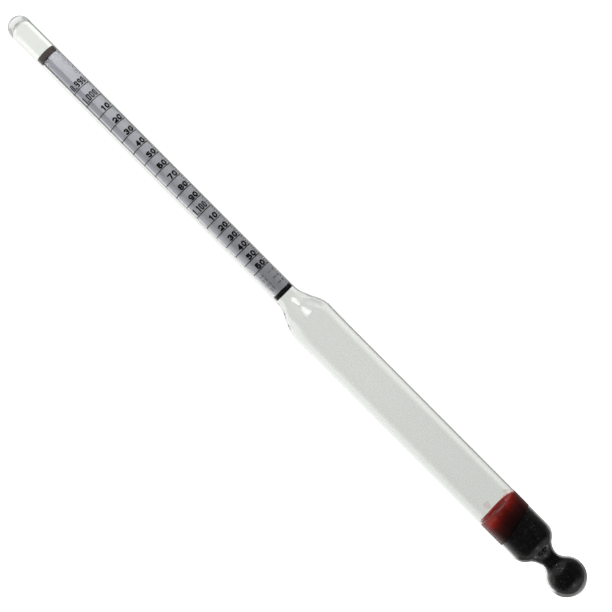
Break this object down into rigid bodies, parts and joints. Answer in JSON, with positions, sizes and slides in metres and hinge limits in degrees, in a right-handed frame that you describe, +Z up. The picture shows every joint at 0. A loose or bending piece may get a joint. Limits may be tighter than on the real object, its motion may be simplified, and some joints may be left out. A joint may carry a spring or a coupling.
{
  "type": "hydrometer",
  "caption": "Sealed glass float with a slim stem over a printed paper scale, a wider body, a waist and a weighted bulb closed off by red wax, for reading specific gravity.",
  "frame": {"origin": "lowest point of the ballast bulb, on the axis", "axes": "+Z up the axis from the bulb to the tip of the stem, as it floats; the specific gravity scale faces -Y"},
  "size_m": [0.0152, 0.015, 0.25],
  "materials": {
    "glass": "clear",
    "grit": "fine black grit",
    "wax": "glossy red wax",
    "paper": "matt",
    "band": "matt black",
    "ink": "printed black",
    "pale_ink": "printed grey"
  },
  "bodies": {
    "root": {"stem_tube": "glass", "body_tube": "glass", "ballast": "grit", "wax_plug": "wax", "scale_paper": "paper", "upper_band": "band", "lower_band": "band", "gravity_lines": "ink", "gravity_ticks": "ink", "gravity_numbers": "ink", "sugar_lines": "ink", "sugar_numbers": "ink", "small_print": "pale_ink"}
  },
  "joints": []
}
